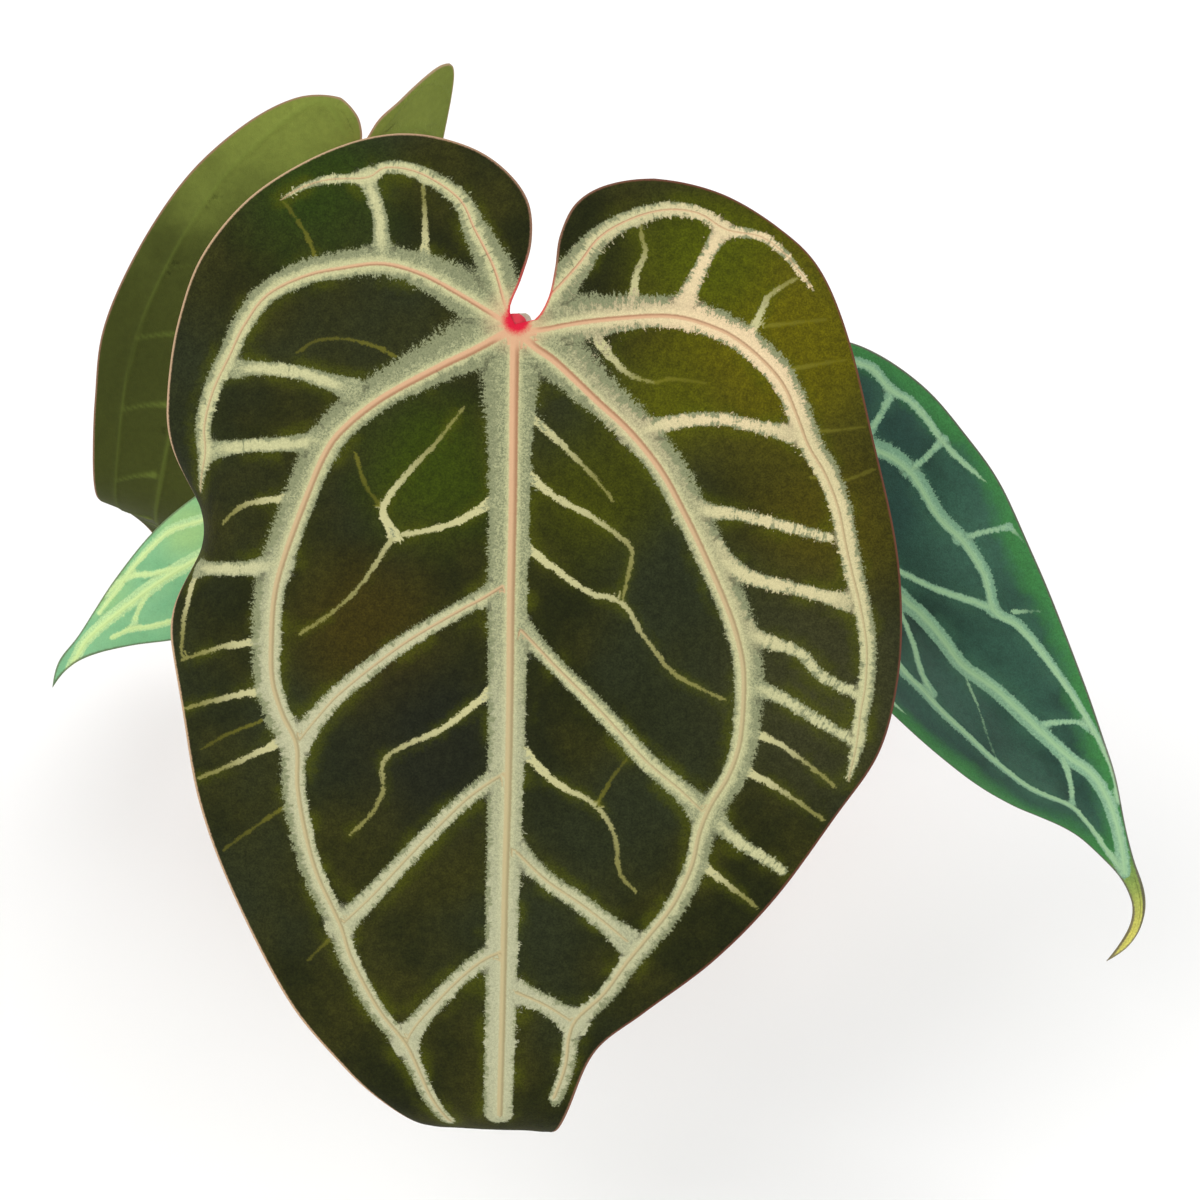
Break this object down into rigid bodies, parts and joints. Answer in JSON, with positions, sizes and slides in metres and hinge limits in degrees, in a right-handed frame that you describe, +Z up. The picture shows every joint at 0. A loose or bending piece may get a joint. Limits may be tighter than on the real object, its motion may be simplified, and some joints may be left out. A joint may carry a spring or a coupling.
{
  "type": "potted anthurium hybrid",
  "caption": "Aroid house plant in a plain clay pot: velvety heart-shaped blades with silver veins on long stalks, a short rooting stem and potting mix.",
  "frame": {"origin": "centre of the pot's underside, on the surface that it stands on", "axes": "+Z up, -Y towards the side that the large blade faces, +X to the right of someone who looks at that blade"},
  "size_m": [0.3818, 0.4155, 0.3714],
  "materials": {
    "clay": "matte",
    "mix": "matte",
    "stem": "matte",
    "stalk": "satin",
    "front_leaf": "satin",
    "back_leaf": "matte",
    "right_leaf": "satin",
    "young_leaf": "satin"
  },
  "bodies": {
    "root": {"pot": "clay", "potting_mix": "mix", "stem": "stem", "front_leaf_blade": "front_leaf", "back_leaf_blade": "back_leaf", "right_leaf_blade": "right_leaf", "young_leaf_blade": "young_leaf", "front_leaf_stalk": "stalk", "back_leaf_stalk": "stalk", "right_leaf_stalk": "stalk", "young_leaf_stalk": "stalk"}
  },
  "joints": []
}
